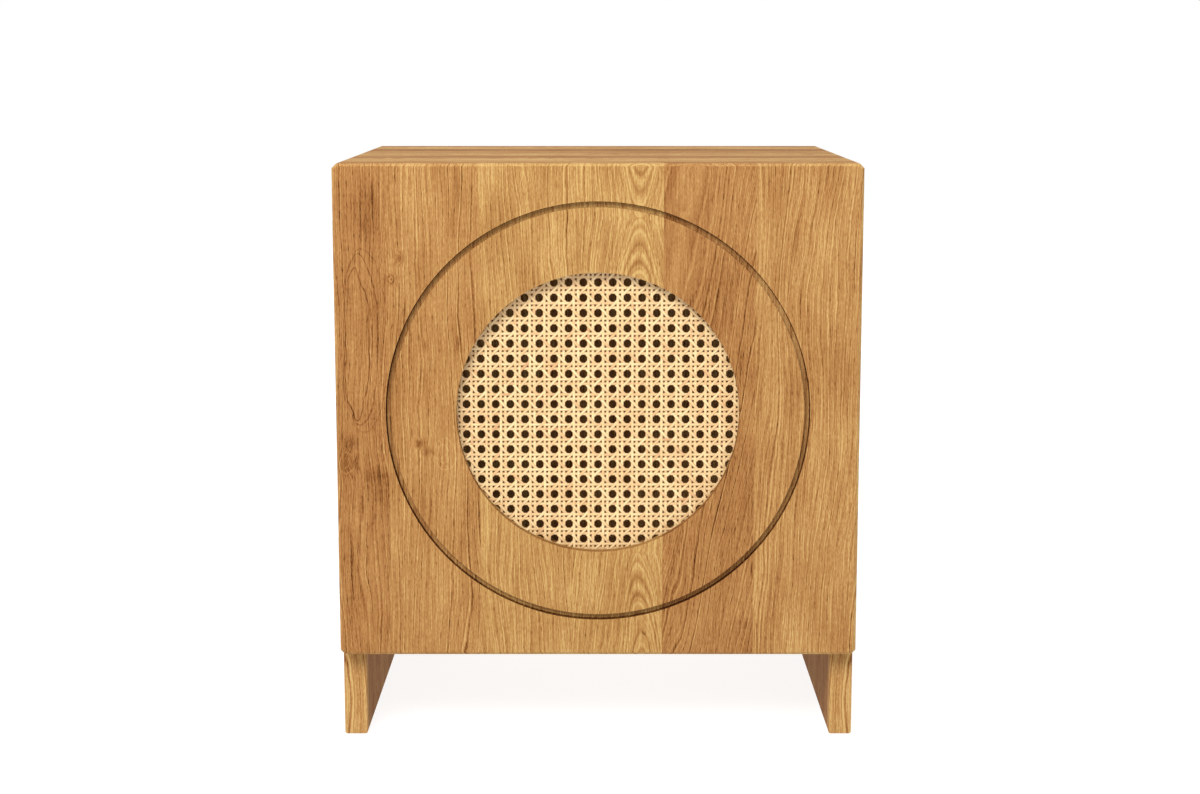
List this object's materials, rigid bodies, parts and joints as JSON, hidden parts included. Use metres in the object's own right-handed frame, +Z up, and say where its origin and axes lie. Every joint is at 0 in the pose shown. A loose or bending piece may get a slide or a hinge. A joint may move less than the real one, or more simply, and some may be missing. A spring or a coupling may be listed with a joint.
{
  "type": "storage side table with door",
  "caption": "Square oak storage side table on panel legs, with a hinged push-open door that has a round cane panel inside a routed ring.",
  "frame": {"origin": "on the floor under the middle of the table", "axes": "+Z up, the door faces -Y, +X to the right seen from the front"},
  "size_m": [0.4527, 0.35, 0.508],
  "materials": {
    "oiled_oak": "oiled, satin, vertical grain on the door",
    "oak_veneer": "oak veneer, satin",
    "beech": "raw beech",
    "woven_cane": "natural rattan cane, satin",
    "satin_nickel_steel": "satin nickel plated",
    "zinc_plated_steel": "bright zinc plated",
    "grey_plastic": "moulded, matte",
    "magnet_nickel": "nickel plated magnet",
    "brown_felt": "pressed felt"
  },
  "bodies": {
    "table": {"top_panel": "oiled_oak", "bottom_panel": "oiled_oak", "left_side_panel": "oiled_oak", "right_side_panel": "oiled_oak", "back_panel": "oak_veneer", "back_panel_screws": "zinc_plated_steel", "mitre_biscuits": "beech", "left_leg": "oiled_oak", "right_leg": "oiled_oak", "leg_tenons": "beech", "felt_pads": "brown_felt", "upper_hinge_box_leaf": "satin_nickel_steel", "upper_hinge_pin": "satin_nickel_steel", "lower_hinge_box_leaf": "satin_nickel_steel", "lower_hinge_pin": "satin_nickel_steel", "hinge_box_screws": "satin_nickel_steel", "push_latch_housing": "grey_plastic", "push_latch_screws": "zinc_plated_steel"},
    "door": {"door_panel": "oiled_oak", "cane_webbing": "woven_cane", "cane_retaining_ring": "oiled_oak", "ring_screws": "zinc_plated_steel", "upper_hinge_door_leaf": "satin_nickel_steel", "lower_hinge_door_leaf": "satin_nickel_steel", "hinge_door_screws": "satin_nickel_steel", "latch_strike_plate": "zinc_plated_steel", "strike_plate_screw": "zinc_plated_steel"},
    "latch_plunger": {"push_latch_plunger": "grey_plastic", "push_latch_magnet": "magnet_nickel"}
  },
  "joints": [
    {"name": "door_hinge", "type": "hinge", "parent": "table", "child": "door", "pos_m": [-0.2255, -0.154, 0.294], "axis": [0, 0, -1], "range_deg": [0, 180]},
    {"name": "plunger_press", "type": "slide", "parent": "table", "child": "latch_plunger", "axis": [0, 1, 0], "range_m": [0, 0.0015], "stiffness_N_per_m": 150, "springref_m": -0.004}
  ]
}
